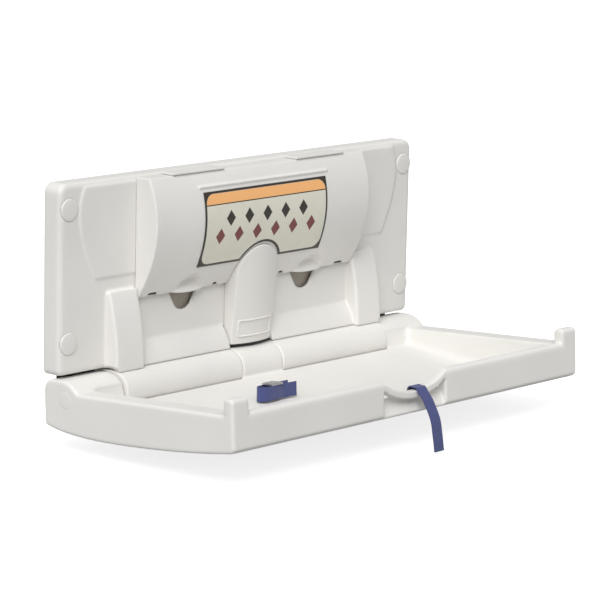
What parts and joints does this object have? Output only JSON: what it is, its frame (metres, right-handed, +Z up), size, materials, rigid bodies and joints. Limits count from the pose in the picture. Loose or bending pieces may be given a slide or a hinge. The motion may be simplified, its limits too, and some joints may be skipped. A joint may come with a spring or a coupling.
{
  "type": "baby_changing_station",
  "caption": "Horizontal wall-mounted baby changing station in off-white moulded plastic, shown open, with a fold-down bed, a liner dispenser and a blue safety strap.",
  "frame": {"origin": "on the wall plane, midway across the width, at the height of the hinge axis", "axes": "+X to the right of someone who stands in front of the station, +Y into the wall, +Z up"},
  "size_m": [0.89, 0.4822, 0.4453],
  "materials": {
    "white_plastic": "moulded, fine satin grain",
    "steel": "zinc plated",
    "nylon": "moulded",
    "webbing": "woven nylon webbing",
    "label_film": "coloured film"
  },
  "bodies": {
    "wall_unit": {"back_panel": "white_plastic", "hole_cap_1": "white_plastic", "hole_cap_2": "white_plastic", "hole_cap_3": "white_plastic", "hole_cap_4": "white_plastic", "dispenser_cover": "white_plastic", "centre_cover": "white_plastic", "hinge_barrel_left": "white_plastic", "hinge_barrel_right": "white_plastic", "fill_lid_left": "white_plastic", "fill_lid_right": "white_plastic", "wall_plate": "steel", "wall_screw_1": "steel", "wall_screw_2": "steel", "wall_screw_3": "steel", "wall_screw_4": "steel", "hinge_rod": "steel", "hinge_damper_left": "nylon", "hinge_damper_right": "nylon", "label_film": "label_film"},
    "bed": {"bed_tray": "white_plastic", "bed_pan": "white_plastic", "bed_cross_tube": "steel", "pan_screw_1": "steel", "pan_screw_2": "steel", "pan_screw_3": "steel", "pan_screw_4": "steel", "strap_lead": "webbing", "strap_loop": "webbing", "strap_anchor": "steel", "lead_anchor": "steel", "buckle_frame": "steel", "centre_bush_left": "nylon", "centre_bush_right": "nylon", "end_bush_left": "nylon", "end_bush_right": "nylon"},
    "strap_tail": {"strap_tail": "webbing"},
    "buckle_cam": {"buckle_cam": "steel"}
  },
  "joints": [
    {"name": "bed_fold", "type": "hinge", "parent": "wall_unit", "child": "bed", "pos_m": [0, -0.054, 0], "axis": [-1, 0, 0], "range_deg": [0, 86.4]},
    {"name": "strap_tail_swing", "type": "hinge", "parent": "bed", "child": "strap_tail", "pos_m": [0.013, -0.47229, -0.03256], "axis": [1, 0, 0], "range_deg": [-60, 80]},
    {"name": "buckle_cam_lift", "type": "hinge", "parent": "bed", "child": "buckle_cam", "pos_m": [-0.103, -0.21075, 0.00485], "axis": [1, 0, 0], "range_deg": [0, 50]}
  ]
}
